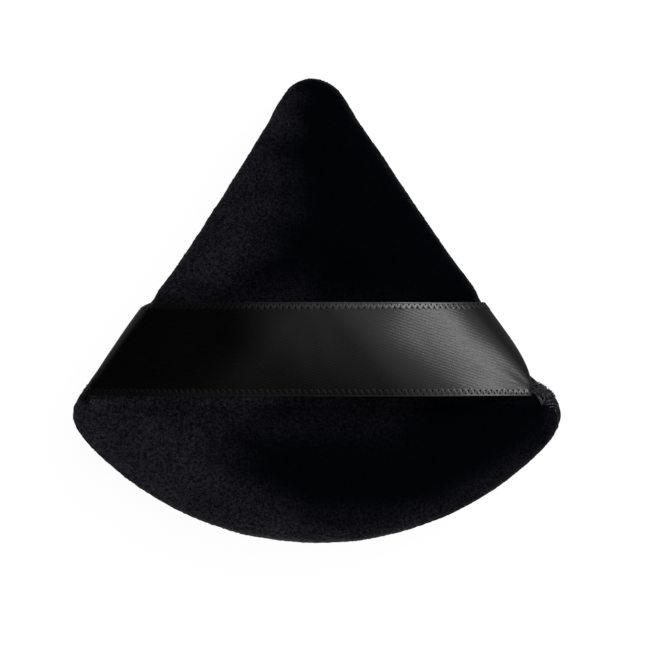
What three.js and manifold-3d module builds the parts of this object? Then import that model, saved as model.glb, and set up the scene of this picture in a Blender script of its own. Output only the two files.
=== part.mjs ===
// A rounded-triangle velvet powder puff with a satin finger ribbon across its face.
// Millimetres. The puff lies on its back: X runs along the ribbon, Y towards the tip, Z up to the
// ribbon. The origin is under the middle of the outline, on the surface that the puff lies on.
//
// Most bodies follow the outline: a point is given by its depth, which is how far it lies inside
// the outline, and by its rise above the seam plane, where the two velvet panels meet.

import * as THREE from 'three';
import { mergeVertices } from 'three/addons/utils/BufferGeometryUtils.js';
import Module from 'manifold-3d';

// Outline, seen from the front
const sidesMeetY = 43.8; // where the slanted sides would meet above the rounded tip
const cornerX = 41.1; // where a slanted side would meet the bottom arc
const cornerY = -16.5;
const bottomY = -37.3; // lowest point of the bottom arc
const sideDrawIn = 1.9; // how far the middle of each slanted side is pulled in
const tipRounding = 4; // how softly the slanted sides blend at the tip
const cornerRounding = 2; // how softly a side blends into the bottom arc

// Cushion
const frontHeight = 7.4; // seam plane to the crown of the front panel
const backHeight = 5.6; // seam plane to the resting face
const restCut = 0.5; // how much of the back's crown is pressed flat
const bulgeHeight = 1.8; // seam plane to the widest line of each panel
const creaseDepth = 1; // how deep the seam lies behind that widest line
const fabricThickness = 1.2; // velvet with its pile
const clearance = 0.3; // gap between neighbouring pieces

// Ribbon
const ribbonWidth = 15;
const ribbonTopY = 1.3; // upper edge of the ribbon
const ribbonThickness = 0.35;
const ribbonArch = 5.9; // extra height of the ribbon's middle above the face
const ribbonTab = 5; // how far the ribbon's ends run into the seam
const allowancePastTab = 1; // seam allowance beyond the ribbon's end
const archShare = 0.8; // part of each half of the ribbon that rises to the level middle

// Threads
const seamThreadRadius = 0.2;
const grooveWall = 0.3; // velvet between the crease and the seam thread's groove
const closingThreadRadius = 0.15;
const closingStitchPitch = 1.5;
const closingStitchSwing = 0.3; // how far a closing stitch reaches up and down from the seam
const closingStitches = 8;

// How finely the bodies are drawn
const rayCount = 60;
const threadSides = 6;
const crownShares = [0, 0.012, 0.06, 0.17, 0.36, 0.64, 1]; // widest line to middle
const wrapShares = [0, 0.4, 0.7, 1]; // seam to widest line, round the panel's edge
const archShares = [0, 0.02, 0.06, 0.13, 0.22, 0.33, 0.45, 0.58, 0.71, 0.85, 1]; // up the arch

const halfGap = clearance / 2;
const seamZ = backHeight;
const seamAllowance = ribbonTab + allowancePastTab;
const ribbonBottomY = ribbonTopY - ribbonWidth;

const front = { side: 1, height: frontHeight, limit: frontHeight };
const back = { side: -1, height: backHeight + restCut, limit: backHeight };

const wasm = await Module();
wasm.setup();

// The slanted side is an arc, curved inward, from the meeting point at the tip to the corner.
const sideLength = Math.hypot(cornerX, sidesMeetY - cornerY);
const sideRadius = (sideLength ** 2 / 4 + sideDrawIn ** 2) / (2 * sideDrawIn);
const sideOut = new THREE.Vector2(sidesMeetY - cornerY, cornerX).divideScalar(sideLength);
const sideCentre = new THREE.Vector2(cornerX, sidesMeetY + cornerY)
  .divideScalar(2)
  .addScaledVector(sideOut, sideRadius - sideDrawIn);

// The bottom arc runs through both corners and the lowest point.
const bottomRise = cornerY - bottomY;
const bottomRadius = (cornerX ** 2 + bottomRise ** 2) / (2 * bottomRise);

function softSmallest(a, b, softness) {
  const least = Math.min(a, b);
  const sum = Math.exp((least - a) / softness) + Math.exp((least - b) / softness);
  return least - softness * Math.log(sum);
}

// How far a point lies inside the outline. It is zero on the outline and negative outside.
function depthAt(x, y) {
  const right = Math.hypot(x - sideCentre.x, y - sideCentre.y) - sideRadius;
  const left = Math.hypot(x + sideCentre.x, y - sideCentre.y) - sideRadius;
  const bottom = bottomRadius - Math.hypot(x, y - bottomY - bottomRadius);
  return softSmallest(softSmallest(right, left, tipRounding), bottom, cornerRounding);
}

// The deepest point of the outline, where every crown has its middle.
function findMiddle() {
  let low = bottomY;
  let high = sidesMeetY;
  for (let step = 0; step < 60; step += 1) {
    const third = (high - low) / 3;
    if (depthAt(0, low + third) < depthAt(0, high - third)) low += third;
    else high -= third;
  }
  return low;
}

const middleY = findMiddle();
const deepest = depthAt(0, middleY);

// How far a ray runs, from the middle or another place on the centre line, to the given depth.
function reachAt(angle, depth, fromY = middleY) {
  let near = 0;
  let far = sidesMeetY - bottomY + cornerX;
  for (let step = 0; step < 50; step += 1) {
    const reach = (near + far) / 2;
    const inside = depthAt(reach * Math.cos(angle), fromY + reach * Math.sin(angle)) > depth;
    if (inside) near = reach;
    else far = reach;
  }
  return near;
}

function pointAt(angle, depth, z) {
  const reach = reachAt(angle, depth);
  return new THREE.Vector3(reach * Math.cos(angle), middleY + reach * Math.sin(angle), z);
}

// Ray angles that crowd together where the outline turns, so that tip and corners stay round.
function chooseRays() {
  const fine = 20 * rayCount;
  const points = [];
  for (let i = 0; i <= fine; i += 1) {
    points.push(pointAt((2 * Math.PI * i) / fine, 0, seamZ));
  }
  const turnLength = cornerX / 2;
  const walked = [0];
  for (let i = 1; i <= fine; i += 1) {
    const step = points[i].clone().sub(points[i - 1]);
    const next = points[(i % fine) + 1].clone().sub(points[i]);
    walked.push(walked[i - 1] + step.length() + turnLength * step.angleTo(next));
  }
  const angles = [];
  for (let i = 0, place = 0; i < rayCount; i += 1) {
    while (walked[place] < (walked[fine] * i) / rayCount) place += 1;
    angles.push((2 * Math.PI * place) / fine);
  }
  return angles;
}

const rays = chooseRays();

// A body swept round the outline. Its line of [depth, rise] points runs outward over the top and
// back underneath. It starts and ends in the middle, or else it closes on itself.
function sweptGeometry(line) {
  const positions = [];
  const rings = line.map(([depth, rise]) => {
    const start = positions.length / 3;
    if (depth >= deepest) positions.push(0, middleY, seamZ + rise);
    else rays.forEach((angle) => positions.push(...pointAt(angle, depth, seamZ + rise)));
    return { start, pole: depth >= deepest };
  });
  const closes = !rings[0].pole;
  const indices = [];
  const last = closes ? rings.length : rings.length - 1;
  for (let i = 0; i < last; i += 1) {
    const upper = rings[i];
    const lower = rings[(i + 1) % rings.length];
    for (let ray = 0; ray < rayCount; ray += 1) {
      const next = (ray + 1) % rayCount;
      if (!lower.pole) {
        const corner = upper.pole ? upper.start : upper.start + ray;
        indices.push(corner, lower.start + ray, lower.start + next);
      }
      if (!upper.pole) {
        const corner = lower.pole ? lower.start : lower.start + next;
        indices.push(upper.start + ray, corner, upper.start + next);
      }
    }
  }
  return indexedGeometry(positions, indices);
}

function indexedGeometry(positions, indices) {
  const geometry = new THREE.BufferGeometry();
  geometry.setAttribute('position', new THREE.Float32BufferAttribute(positions, 3));
  geometry.setIndex(indices);
  return geometry;
}

// The crown climbs steeply from the widest line and levels out towards the middle.
function crownRise(share) {
  return Math.sqrt(1 - (1 - share) ** 3);
}

// The share at which a crown has risen by a part of its height.
function crownShareAt(risen) {
  return risen >= 1 ? 1 : 1 - Math.cbrt(1 - risen ** 2);
}

// A panel's crown from its widest line to the middle, drawn in by an inset, and level where the
// panel is pressed flat.
function crownLine(panel, inset) {
  const climb = panel.height - bulgeHeight - inset;
  const level = panel.limit - inset;
  const levelShare = crownShareAt((level - bulgeHeight) / climb);
  const line = crownShares.map((share) => {
    const across = share * levelShare;
    return [inset + (deepest - inset) * across, bulgeHeight + climb * crownRise(across)];
  });
  if (levelShare < 1) line.push([deepest, level]);
  return line;
}

// The rounded edge of a panel, from the crease at the seam out to the widest line. An outset
// gives the line of something that wraps round that edge.
function edgeLine(outset) {
  const across = creaseDepth + outset;
  const up = bulgeHeight - halfGap + outset;
  return wrapShares.map((share) => {
    const turn = (share * Math.PI) / 2;
    return [creaseDepth - across * Math.sin(turn), bulgeHeight - up * Math.cos(turn)];
  });
}

const threadDepth = creaseDepth + grooveWall + seamThreadRadius + clearance;
const threadRise = halfGap + seamThreadRadius;

// The seam thread's groove in the front panel's allowance, from inside to outside.
function grooveLine() {
  const reach = seamThreadRadius + clearance;
  const top = threadRise + reach;
  return [
    [threadDepth + reach, halfGap],
    [threadDepth + reach, top],
    [threadDepth - reach, top],
    [threadDepth - reach, halfGap],
  ];
}

// A velvet panel: a crowned shell whose edge turns in at the seam as a flat allowance.
function coverGeometry(panel, groove) {
  const inside = crownLine(panel, fabricThickness);
  const allowance = [
    [creaseDepth, halfGap + fabricThickness],
    [seamAllowance, halfGap + fabricThickness],
    [seamAllowance, halfGap],
  ];
  const outside = crownLine(panel, 0);
  const line = [
    ...outside.slice(1).reverse(),
    ...edgeLine(0).reverse(),
    ...groove.reverse(),
    ...allowance.reverse(),
    ...inside,
  ].map(([depth, rise]) => [depth, panel.side * rise]);
  return sweptGeometry(panel.side > 0 ? line : line.reverse());
}

// Foam that fills both panels, with a slot round its edge for the seam allowances.
function foamGeometry() {
  const inset = fabricThickness + clearance;
  const lip = halfGap + inset;
  const half = (panel) => [
    ...crownLine(panel, inset).reverse(),
    [creaseDepth + clearance, lip],
    [seamAllowance + clearance, lip],
  ].map(([depth, rise]) => [depth, panel.side * rise]);
  return sweptGeometry([...half(front), ...half(back).reverse()]);
}

function seamThreadGeometry() {
  const line = [];
  for (let i = 0; i < threadSides; i += 1) {
    const turn = (2 * Math.PI * i) / threadSides;
    line.push([
      threadDepth - seamThreadRadius * Math.sin(turn),
      threadRise + seamThreadRadius * Math.cos(turn),
    ]);
  }
  return sweptGeometry(line);
}

// The ribbon bends over a straight line that meets the outline at the ribbon's upper edge and
// stays outside it down to the lower edge.
const ribbonEndTopX = reachAt(0, 0, ribbonTopY);

function findSideLean() {
  let lean = 0;
  const steps = 30;
  for (let step = 1; step <= steps; step += 1) {
    const down = (ribbonWidth * step) / steps;
    const across = reachAt(0, 0, ribbonTopY - down) - ribbonEndTopX;
    lean = Math.max(lean, Math.atan2(across, down));
  }
  return lean;
}

const sideLean = findSideLean();
const ribbonEndBottomX = ribbonEndTopX + ribbonWidth * Math.tan(sideLean);
const archDepth = archShare * ribbonEndTopX * Math.cos(sideLean);

// Where a ribbon point lies: its depth is measured square to the slanted side.
function ribbonPoint(depth, rise, y) {
  const along = (ribbonTopY - y) / ribbonWidth;
  const edgeX = THREE.MathUtils.lerp(ribbonEndTopX, ribbonEndBottomX, along);
  return new THREE.Vector3(edgeX - depth / Math.cos(sideLean), y, seamZ + rise);
}

// The ribbon's middle line from its end in the seam, round the panel's edge and up its arch.
function ribbonLine() {
  const outset = clearance + ribbonThickness / 2;
  const crown = front.height - bulgeHeight;
  const step = deepest / 1000;
  const arch = archShares.map((share) => {
    const depth = share * archDepth;
    const rise = crown * crownRise(depth / deepest);
    const before = crown * crownRise(Math.max(depth - step, 0) / deepest);
    const after = crown * crownRise((depth + step) / deepest);
    const run = depth > step ? 2 * step : 0;
    const away = new THREE.Vector2(before - after, run).setLength(outset);
    const arched = ribbonArch * THREE.MathUtils.smoothstep(share, 0, 1);
    return [depth + away.x, bulgeHeight + rise + away.y + arched];
  });
  const wrap = edgeLine(outset).slice(0, -1);
  return [[ribbonTab, wrap[0][1]], ...wrap, ...arch];
}

// One end of the ribbon on the right, from the seam to the level middle, with its real thickness.
function ribbonEndGeometry(mirror) {
  const line = ribbonLine().map(([depth, rise]) => new THREE.Vector2(depth, rise));
  const positions = [];
  line.forEach((point, i) => {
    const before = line[Math.max(i - 1, 0)];
    const after = line[Math.min(i + 1, line.length - 1)];
    const along = after.clone().sub(before).normalize();
    const across = new THREE.Vector2(-along.y, along.x).multiplyScalar(ribbonThickness / 2);
    const upper = point.clone().add(across);
    const lower = point.clone().sub(across);
    [[upper, ribbonTopY], [lower, ribbonTopY], [lower, ribbonBottomY], [upper, ribbonBottomY]]
      .forEach(([place, y]) => {
        const corner = ribbonPoint(place.x, place.y, y);
        positions.push(mirror * corner.x, corner.y, corner.z);
      });
  });
  const indices = [];
  const addQuad = (a, b, c, d) => indices.push(a, b, c, a, c, d);
  for (let i = 0; i < line.length - 1; i += 1) {
    for (let side = 0; side < 4; side += 1) {
      const a = 4 * i + side;
      const b = 4 * i + ((side + 1) % 4);
      addQuad(a, b, b + 4, a + 4);
    }
  }
  const end = 4 * (line.length - 1);
  addQuad(3, 2, 1, 0);
  addQuad(end, end + 1, end + 2, end + 3);
  if (mirror < 0) indices.reverse();
  return indexedGeometry(positions, indices);
}

// The level middle of the ribbon, cut slanted at both ends like the sides it hangs between.
function ribbonMiddleGeometry() {
  const depth = archDepth + clearance;
  const top = ribbonPoint(depth, 0, ribbonTopY);
  const bottom = ribbonPoint(depth, 0, ribbonBottomY);
  const shape = new THREE.Shape([
    new THREE.Vector2(-bottom.x, bottom.y),
    new THREE.Vector2(bottom.x, bottom.y),
    new THREE.Vector2(top.x, top.y),
    new THREE.Vector2(-top.x, top.y),
  ]);
  const geometry = new THREE.ExtrudeGeometry(shape, { depth: ribbonThickness, bevelEnabled: false });
  const level = ribbonLine().at(-1)[1];
  return geometry.translate(0, 0, seamZ + level - ribbonThickness / 2);
}

// A single thread that whips the turning gap shut, from under the ribbon round the right corner.
function closingThreadGeometry() {
  const edgeTurn = Math.acos((bulgeHeight - closingStitchSwing) / (bulgeHeight - halfGap));
  const depth = creaseDepth * (1 - Math.sin(edgeTurn)) - closingThreadRadius - clearance;
  const points = [];
  const startY = ribbonBottomY - clearance - 2 * closingThreadRadius;
  let angle = Math.atan2(startY - middleY, ribbonEndBottomX);
  for (let i = 0; i <= 2 * closingStitches; i += 1) {
    const swing = i % 2 ? closingStitchSwing : -closingStitchSwing;
    points.push(pointAt(angle, depth, seamZ + swing));
    angle -= closingStitchPitch / 2 / reachAt(angle, depth);
  }
  const section = new THREE.Shape();
  for (let i = 0; i < threadSides; i += 1) {
    const turn = (2 * Math.PI * i) / threadSides;
    const x = closingThreadRadius * Math.cos(turn);
    const y = closingThreadRadius * Math.sin(turn);
    if (i === 0) section.moveTo(x, y);
    else section.lineTo(x, y);
  }
  return new THREE.ExtrudeGeometry(section, {
    steps: 3 * (points.length - 1),
    extrudePath: new THREE.CatmullRomCurve3(points),
  });
}

function asManifold(geometry) {
  const bare = geometry.clone();
  bare.deleteAttribute('normal');
  bare.deleteAttribute('uv');
  const merged = mergeVertices(bare);
  return new wasm.Manifold(new wasm.Mesh({
    numProp: 3,
    vertProperties: merged.attributes.position.array,
    triVerts: new Uint32Array(merged.index.array),
  }));
}

// The back panel's allowance is thinned where the ribbon's ends pass through the seam.
function backCoverGeometry() {
  const high = halfGap + clearance;
  const low = halfGap - ribbonThickness - 2 * clearance;
  const width = 2 * (cornerX + seamAllowance);
  const passage = new THREE.BoxGeometry(width, ribbonWidth + 2 * clearance, high - low);
  passage.translate(0, (ribbonTopY + ribbonBottomY) / 2, seamZ + (high + low) / 2);
  const cut = asManifold(coverGeometry(back, [])).subtract(asManifold(passage));
  const mesh = cut.getMesh();
  return indexedGeometry(Array.from(mesh.vertProperties), Array.from(mesh.triVerts));
}

const velvet = { color: 0x0b0a0f, roughness: 0.95, metalness: 0 };
const satin = { color: 0x1b1a1d, roughness: 0.35, metalness: 0 };
const foam = { color: 0xe9e4d6, roughness: 0.9, metalness: 0 };
const thread = { color: 0x151417, roughness: 0.7, metalness: 0 };

const pieces = [
  ['front_cover', coverGeometry(front, grooveLine()), velvet],
  ['back_cover', backCoverGeometry(), velvet],
  ['foam_core', foamGeometry(), foam],
  ['seam_thread', seamThreadGeometry(), thread],
  ['closing_thread', closingThreadGeometry(), thread],
  ['ribbon_left_end', ribbonEndGeometry(-1), satin],
  ['ribbon_middle', ribbonMiddleGeometry(), satin],
  ['ribbon_right_end', ribbonEndGeometry(1), satin],
];

const puff = new THREE.Group();
for (const [name, geometry, finish] of pieces) {
  const mesh = new THREE.Mesh(geometry, new THREE.MeshStandardMaterial(finish));
  mesh.name = name;
  puff.add(mesh);
}

// The outline's own middle goes over the origin.
const outlineTop = pointAt(Math.PI / 2, 0, 0).y;
const outlineBottom = pointAt(-Math.PI / 2, 0, 0).y;
puff.position.y = -(outlineTop + outlineBottom) / 2;

export default puff;
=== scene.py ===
"""Dresses the powder puff: velvet panels, sponge, threads and satin ribbon, with floor and lights.

Outline and profile lengths are millimetres, as in the part's own source. They become metres when
a mesh is made. X runs along the ribbon, Y towards the tip and Z up to the ribbon.
"""

import math

import bpy
import numpy as np
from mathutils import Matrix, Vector
from mathutils.bvhtree import BVHTree
from mathutils.geometry import delaunay_2d_cdt


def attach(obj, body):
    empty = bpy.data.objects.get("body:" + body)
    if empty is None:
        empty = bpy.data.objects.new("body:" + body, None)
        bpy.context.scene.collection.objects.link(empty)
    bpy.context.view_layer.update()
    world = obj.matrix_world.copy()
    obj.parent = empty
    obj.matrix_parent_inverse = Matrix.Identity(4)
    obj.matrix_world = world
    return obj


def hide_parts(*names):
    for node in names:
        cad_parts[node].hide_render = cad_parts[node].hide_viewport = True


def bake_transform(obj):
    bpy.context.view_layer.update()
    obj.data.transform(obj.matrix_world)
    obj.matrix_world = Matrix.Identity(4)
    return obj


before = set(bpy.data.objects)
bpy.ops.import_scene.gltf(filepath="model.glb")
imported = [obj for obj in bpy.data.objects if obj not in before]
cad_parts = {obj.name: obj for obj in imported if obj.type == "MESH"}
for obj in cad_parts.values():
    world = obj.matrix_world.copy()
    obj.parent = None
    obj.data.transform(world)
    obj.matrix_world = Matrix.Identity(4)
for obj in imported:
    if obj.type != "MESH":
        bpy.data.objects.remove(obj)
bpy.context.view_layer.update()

MM = 0.001
random = np.random.default_rng(11)

# Outline, as in the part's source
sides_meet_y = 43.8
corner_x = 41.1
corner_y = -16.5
bottom_y = -37.3
side_draw_in = 1.9
tip_rounding = 4.0
corner_rounding = 2.0
tip_lean = 0.8  # how far the tip leans to the left
tip_blunting = 0.55  # how far the tip is pressed down

# Cushion
seam_z = 5.6
front_height = 7.4
back_height = 6.1
back_limit = 5.6  # the back's crown is pressed flat where it rests
bulge_height = 1.8
crease_depth = 1.0
skin = 1.8  # from the velvet's face to the sponge

# Ribbon
ribbon_width = 15.0
ribbon_top_y = 1.3
ribbon_thickness = 0.3
ribbon_gap = 0.3  # between the ribbon and the velvet that it wraps
ribbon_outset = ribbon_gap + ribbon_thickness / 2
level_rise = 11.2  # from the cushion's edge up to the ribbon's level part
arch_depth = 21.3
# The ribbon's slope in degrees, at depths in from its fold and without the fold's own steepness
slope_depths = [0, 5.0, 6.3, 7.6, 10.2, 12.8, 15.4, 18.0, arch_depth]
slope_angles = [31, 30.8, 29.8, 28.3, 25.7, 22.2, 17.4, 11.2, 0]
# How much steeper it is at its fold and how far in that reaches, at its upper and lower edges,
# on the right (1) and on the left (-1)
fold_steepness = {1: (38, 60), -1: (60, 60)}
fold_reach = {1: (2.4, 0.7), -1: (0.8, 0.4)}
ribbon_tab = 3.0
ribbon_middle_y = ribbon_top_y - ribbon_width / 2
middle_bow = 0.8  # how far the ribbon's edges hang below its middle line, half way along it
end_sag = 0.2  # how far they stand above that line on the slopes
middle_crown = 0.8  # a slight rise half way along the ribbon
crown_reach = 22.0
# Where its folds start at the upper edge, and how far out they run for each millimetre down
fold_start = {1: 26.45, -1: 27.3}
side_slopes = {1: 0.72, -1: 0.70}

# Outline maths
side_length = math.hypot(corner_x, sides_meet_y - corner_y)
side_radius = (side_length**2 / 4 + side_draw_in**2) / (2 * side_draw_in)
side_out = np.array([sides_meet_y - corner_y, corner_x]) / side_length
side_centre = np.array([corner_x, sides_meet_y + corner_y]) / 2
side_centre = side_centre + side_out * (side_radius - side_draw_in)
bottom_rise = corner_y - bottom_y
bottom_radius = (corner_x**2 + bottom_rise**2) / (2 * bottom_rise)


def soft_smallest(a, b, softness):
    least = np.minimum(a, b)
    total = np.exp((least - a) / softness) + np.exp((least - b) / softness)
    return least - softness * np.log(total)


def depth_at(x, y):
    """How far a point lies inside the outline."""
    right = np.hypot(x - side_centre[0], y - side_centre[1]) - side_radius
    left = np.hypot(x + side_centre[0], y - side_centre[1]) - side_radius
    bottom = bottom_radius - np.hypot(x, y - bottom_y - bottom_radius)
    return soft_smallest(soft_smallest(right, left, tip_rounding), bottom, corner_rounding)


def find_middle():
    """The deepest point of the outline, on its centre line."""
    low, high = bottom_y, sides_meet_y
    for _ in range(60):
        third = (high - low) / 3
        if depth_at(0.0, low + third) < depth_at(0.0, high - third):
            low += third
        else:
            high -= third
    return low


middle_y = find_middle()
deepest = float(depth_at(0.0, middle_y))


def reach_at(angle, depth, from_y=middle_y):
    """How far rays run from the centre line to the given depths."""
    angle, depth, from_y = np.broadcast_arrays(angle, depth, from_y)
    near = np.zeros(angle.shape)
    far = np.full(angle.shape, 130.0)
    for _ in range(46):
        reach = (near + far) / 2
        inside = depth_at(reach * np.cos(angle), from_y + reach * np.sin(angle)) > depth
        near = np.where(inside, reach, near)
        far = np.where(inside, far, reach)
    return near


outline_top = middle_y + float(reach_at(math.pi / 2, 0))
outline_bottom = middle_y - float(reach_at(-math.pi / 2, 0))
shift_y = -(outline_top + outline_bottom) / 2


def ramp(value):
    """A smooth way from 0 to 1."""
    t = np.clip(value, 0, 1)
    return t * t * (3 - 2 * t)


def hump(value, middle, width):
    return np.exp(-(((value - middle) / width) ** 2))


def walked(x, y):
    """The way walked along a line, up to each of its points."""
    return np.concatenate([[0], np.cumsum(np.hypot(np.diff(x), np.diff(y)))])


def crown_rise(share):
    return np.sqrt(1 - (1 - np.clip(share, 0, 1)) ** 3)


def lean(y):
    """How far the outline's centre line stands to the left, from the ribbon up to the tip."""
    return -tip_lean * np.clip(y / outline_top, 0, 1) ** 1.6


def blunting(y):
    """How far the tip is pressed down."""
    blunt_from = 31
    return -tip_blunting * ramp((y - blunt_from) / (outline_top - blunt_from))


def fold_x(side, drop):
    """Where the cushion's edge lies under the ribbon, at a drop below the ribbon's upper edge."""
    return fold_start[side] + side_slopes[side] * drop


def fold_shift(side, drop):
    """How far the ribbon's fold is drawn in from the straight line: a pinch or a round corner."""
    share = np.clip(drop / ribbon_width, 0, 1)
    if side > 0:
        return -3.5 * share**4.2
    return -1.3 * np.clip(1 - drop / 1.3, 0, 1) ** 2 - 0.3 * ramp((drop - 8) / 4)


# How far the ribbon pulls the seam in where it is sewn, most of all above the right corner
pull_y = [-17.0, -14.2, -12.8, -11.5, -10.3, -7.4, 0.1, 3.0]
pull_right = [0.0, 0.0, 0.36, 1.2, 1.6, 1.2, 0.5, 0.0]
pull_left = [0.0, -0.1, 0.1, 0.2, 0.2, 0.2, 0.1, 0.0]

# How far the filling pushes the tip and the lower edge out beyond the panels' cut
tip_full_y = [30.0, 31.1, 32.0, 33.1, 34.2, 35.6, 36.3, 37.1, 37.7, 38.0]
tip_full = [0.0, 0.1, 0.22, 0.42, 0.6, 0.8, 0.88, 0.8, 0.65, 0.5]
lower_fullness = 0.21


def drawn_in(points, clear=0.15):
    """Points of the cushion, moved as the ribbon and the making of the real puff have moved it.

    Under the ribbon's ends the front panel is pressed in until it is clear of the ribbon's fold,
    and the seam below it stays out as a small ear.
    """
    x, y, z = points.T.copy()
    side = np.where(x > 0, 1, -1)

    def by_side(right, left):
        return np.where(x > 0, right, left)

    near_edge = ramp(1 - np.maximum(depth_at(x, y), 0) / 6)
    away = np.maximum(np.hypot(x, y - middle_y), 1)
    full_from = by_side(-17.5, -14.5)
    fuller = lower_fullness * ramp((full_from - y) / 3) * (1 + 0.6 * x / corner_x)
    fuller *= near_edge
    fuller_right = 0.2 * near_edge * (x > 0) * ramp((y - 2) / 3) * ramp((28 - y) / 5)
    pull = by_side(np.interp(y, pull_y, pull_right), np.interp(y, pull_y, pull_left))
    half_width = reach_at(np.zeros(len(x)), 0, np.clip(y, bottom_y + 1, outline_top - 1))
    drop = ribbon_top_y - y
    ribbon_edge = by_side(*(fold_x(one, drop) + fold_shift(one, drop) for one in (1, -1)))
    pressed = np.clip(half_width - pull - ribbon_edge + clear, 0, 4)
    pressed *= ramp((drop + 1.2) / 1.2)
    pressed *= by_side(ramp((13.2 - drop) / 2.4), ramp((16.2 - drop) / 1.4))
    pressed *= ramp((z - seam_z - 0.6) / 1.4)
    x += x / np.maximum(half_width, 1.2) * np.interp(y, tip_full_y, tip_full)
    x += lean(y) - side * near_edge * (pull + pressed) + fuller * x / away + fuller_right
    return np.stack([x, y + blunting(y) + fuller * (y - middle_y) / away, z], 1)


# Meshes
def show(name, data):
    obj = bpy.data.objects.new(name, data)
    bpy.context.scene.collection.objects.link(obj)
    return obj


def add_object(name, points, faces):
    """A smooth object from points in the outline's millimetres."""
    placed = (np.array(points, float) + (0, shift_y, 0)) * MM
    mesh = bpy.data.meshes.new(name)
    mesh.from_pydata(placed.tolist(), [], [tuple(map(int, f)) for f in faces])
    mesh.polygons.foreach_set("use_smooth", [True] * len(mesh.polygons))
    mesh.update()
    return show(name, mesh)


def subdivide(obj):
    """Each face becomes several, and the surface smoother."""
    modifier = obj.modifiers.new("smooth", "SUBSURF")
    modifier.levels = 1
    depsgraph = bpy.context.evaluated_depsgraph_get()
    finished = bpy.data.meshes.new_from_object(obj.evaluated_get(depsgraph))
    obj.modifiers.clear()
    obj.data = finished


def vertex_array(mesh, attribute="co"):
    values = np.empty(len(mesh.vertices) * 3)
    mesh.vertices.foreach_get(attribute, values)
    return values.reshape(-1, 3)


def facing_out(points, faces):
    """Each triangle's direction out, as long as twice its area."""
    a, b, c = (points[faces[:, i]] for i in range(3))
    return np.cross(b - a, c - a)


# The ribbon's two halves meet in the middle of its level part. Each is a grid of rows along the
# ribbon, from the middle to its end in the seam, and columns across it from its upper edge.
row_spacing = 0.4
column_spacing = 0.5
steepest = 78  # degrees, at the fold


def ribbon_profile(side, drop):
    """Depth, and rise of each column, of the ribbon's middle plane from its level part down."""
    behind = np.linspace(0, arch_depth + ribbon_outset, 700)
    plain = np.interp(behind, slope_depths, slope_angles)[:, None]
    reach = np.interp(drop, [0, ribbon_width], fold_reach[side])
    steepness = np.interp(drop, [0, ribbon_width], fold_steepness[side])
    steep = np.minimum(plain + steepness * np.exp(-behind[:, None] / reach), steepest)
    plain = np.tan(np.radians(plain))
    extra = np.cumsum(np.tan(np.radians(steep)) - plain, 0) * behind[1]
    plain = np.cumsum(plain, 0) * behind[1]
    risen = extra + plain * (level_rise - extra[-1]) / plain[-1]
    turn = np.linspace(math.pi / 2, 0, 14)[1:]
    wrap_depth = crease_depth - (crease_depth + ribbon_outset) * np.sin(turn)
    wrap_rise = bulge_height * (1 - np.cos(turn))
    sloping = (behind - ribbon_outset)[::-1]
    depth = np.concatenate([sloping, wrap_depth, [crease_depth + ribbon_tab]])
    lower = np.repeat(np.append(wrap_rise, 0)[:, None], len(drop), 1)
    rise = np.concatenate([bulge_height + risen[::-1], lower])
    way = walked(depth, rise[:, len(drop) // 2])
    even = np.linspace(0, way[-1], round(way[-1] / row_spacing) + 1)
    rows = np.stack([np.interp(even, way, column) for column in rise.T], 1)
    return np.interp(even, way, depth)[:, None], rows


def ribbon_grid(side):
    """Points of the ribbon's middle plane, rows from x = 0 outward, columns from the top edge."""
    columns = round(ribbon_width / column_spacing) + 1
    drop = np.linspace(0, ribbon_width, columns)
    slant = math.cos(math.atan(side_slopes[side]))
    depth, rise = ribbon_profile(side, drop)
    edge = fold_x(side, drop)[None]
    fold = edge + ribbon_outset / slant + fold_shift(side, drop)[None]
    x = soft_smallest(edge - depth / slant, fold, 0.1)
    behind = np.minimum.accumulate(depth) + ribbon_outset
    bow = 1 / 3 - (2 * drop / ribbon_width - 1) ** 2
    in_middle = ramp((behind - 11) / 9)
    slopes = ramp(behind / 4) * (1 - in_middle)
    z = seam_z + rise + bow * (middle_bow * in_middle - end_sag * slopes)
    level = np.linspace(0, 1, 20, endpoint=False)[:, None]
    x = np.concatenate([level * x[:1], x])
    z = np.concatenate([np.repeat(z[:1], len(level), 0), z])
    z += middle_crown * np.clip(1 - (x / crown_reach) ** 2, 0, 1) ** 2
    y = np.broadcast_to(ribbon_top_y - drop, x.shape)
    return np.stack([side * x, y, z], 2)


def grid_normals(points):
    along = np.gradient(points, axis=0)
    across = np.gradient(points, axis=1)
    normal = np.cross(along, across)
    normal /= np.linalg.norm(normal, axis=2, keepdims=True)
    return normal * np.sign(normal[0, 0, 2])


def ribbon_waves(side, points):
    """Small unevenness of the satin: creases that fan out of the lower corner, and soft waves."""
    x, y = points[..., 0], points[..., 1]
    corner = (35.6, -13.4) if side > 0 else (-36.8, -13.6)
    away_x, away_y = x - corner[0], y - corner[1]
    distance = np.hypot(away_x, away_y)
    bearing = np.arctan2(away_y, -side * away_x)
    strength = 0.07 if side > 0 else 0.05
    fan = strength * np.sin(bearing * 15 + 0.6) * np.exp(-distance / 5)
    fan *= 1 - np.exp(-distance / 1.2)
    soft = 0.035 * np.sin(0.31 * x + 0.5 * y) + 0.025 * np.sin(0.55 * x - 0.27 * y + 1.3)
    return (fan + soft) * ramp(np.abs(x) / 3)


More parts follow.
